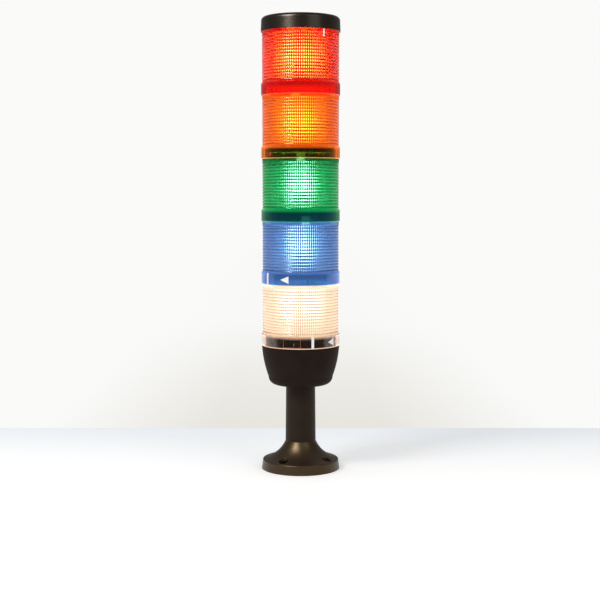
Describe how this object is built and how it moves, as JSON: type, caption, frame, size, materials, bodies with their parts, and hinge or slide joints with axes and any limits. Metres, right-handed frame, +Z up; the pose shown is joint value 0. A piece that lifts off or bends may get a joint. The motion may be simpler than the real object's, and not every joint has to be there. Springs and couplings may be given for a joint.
{
  "type": "stack light",
  "caption": "Modular tower of lit signal lenses in red, amber, green, blue and clear on a black housing, a short hollow pole and a round trumpet foot with screw holes.",
  "frame": {"origin": "centre of the foot's underside, on the surface that the light stands on", "axes": "+Z up along the pole and the lenses, -Y towards the front, +X to the right seen from the front"},
  "size_m": [0.0704, 0.0704, 0.403],
  "materials": {
    "housing_plastic": "fine satin texture, black",
    "cap_plastic": "satin, black",
    "foot_plastic": "satin, brown-black",
    "pole_plastic": "satin, black",
    "gasket_rubber": "black",
    "seal_rubber": "silicone, off-white",
    "nut_plastic": "moulded",
    "carrier_plastic": "moulded, off-white",
    "plate_plastic": "moulded, off-white",
    "terminal_plastic": "moulded, grey",
    "screw_steel": "zinc plated",
    "contact_brass": "bright",
    "strip_plastic": "moulded, off-white",
    "holder_metal": "satin",
    "clear_lens_plastic": "transparent moulded polycarbonate, clear",
    "clear_lamp_glass": "lit lamp",
    "blue_lens_plastic": "transparent moulded polycarbonate, blue",
    "blue_lamp_glass": "lit lamp",
    "green_lens_plastic": "transparent moulded polycarbonate, green",
    "green_lamp_glass": "lit lamp",
    "amber_lens_plastic": "transparent moulded polycarbonate, amber",
    "amber_lamp_glass": "lit lamp",
    "red_lens_plastic": "transparent moulded polycarbonate, red",
    "red_lamp_glass": "lit lamp"
  },
  "bodies": {
    "root": {"foot": "foot_plastic", "foot_gasket": "gasket_rubber", "foot_nut": "nut_plastic", "pole": "pole_plastic", "base_housing": "housing_plastic", "head_nut": "nut_plastic", "terminal_block": "terminal_plastic", "terminal_screws": "screw_steel", "base_plate": "plate_plastic", "base_seal": "seal_rubber", "base_contacts": "contact_brass"},
    "clear_module": {"clear_lens": "clear_lens_plastic", "clear_seal": "seal_rubber", "clear_carrier": "carrier_plastic", "clear_lampholder": "holder_metal", "clear_lamp": "clear_lamp_glass", "clear_wiring_strip": "strip_plastic", "clear_top_plate": "plate_plastic", "clear_contacts": "contact_brass"},
    "blue_module": {"blue_lens": "blue_lens_plastic", "blue_seal": "seal_rubber", "blue_carrier": "carrier_plastic", "blue_lampholder": "holder_metal", "blue_lamp": "blue_lamp_glass", "blue_wiring_strip": "strip_plastic", "blue_top_plate": "plate_plastic", "blue_contacts": "contact_brass"},
    "green_module": {"green_lens": "green_lens_plastic", "green_seal": "seal_rubber", "green_carrier": "carrier_plastic", "green_lampholder": "holder_metal", "green_lamp": "green_lamp_glass", "green_wiring_strip": "strip_plastic", "green_top_plate": "plate_plastic", "green_contacts": "contact_brass"},
    "amber_module": {"amber_lens": "amber_lens_plastic", "amber_seal": "seal_rubber", "amber_carrier": "carrier_plastic", "amber_lampholder": "holder_metal", "amber_lamp": "amber_lamp_glass", "amber_wiring_strip": "strip_plastic", "amber_top_plate": "plate_plastic", "amber_contacts": "contact_brass"},
    "red_module": {"red_lens": "red_lens_plastic", "red_seal": "seal_rubber", "red_carrier": "carrier_plastic", "red_lampholder": "holder_metal", "red_lamp": "red_lamp_glass", "red_wiring_strip": "strip_plastic", "red_top_plate": "plate_plastic", "red_contacts": "contact_brass"},
    "cap": {"cap": "cap_plastic"}
  },
  "joints": [
    {"name": "clear_twist", "type": "hinge", "parent": "root", "child": "clear_module", "pos_m": [0, 0, 0.1125], "axis": [0, 0, 1], "range_deg": [-15, 0]},
    {"name": "blue_twist", "type": "hinge", "parent": "clear_module", "child": "blue_module", "pos_m": [0, 0, 0.168], "axis": [0, 0, 1], "range_deg": [-15, 0]},
    {"name": "green_twist", "type": "hinge", "parent": "blue_module", "child": "green_module", "pos_m": [0, 0, 0.2235], "axis": [0, 0, 1], "range_deg": [-15, 0]},
    {"name": "amber_twist", "type": "hinge", "parent": "green_module", "child": "amber_module", "pos_m": [0, 0, 0.279], "axis": [0, 0, 1], "range_deg": [-15, 0]},
    {"name": "red_twist", "type": "hinge", "parent": "amber_module", "child": "red_module", "pos_m": [0, 0, 0.3345], "axis": [0, 0, 1], "range_deg": [-15, 0]},
    {"name": "cap_twist", "type": "hinge", "parent": "red_module", "child": "cap", "pos_m": [0, 0, 0.39], "axis": [0, 0, 1], "range_deg": [-15, 0]}
  ]
}
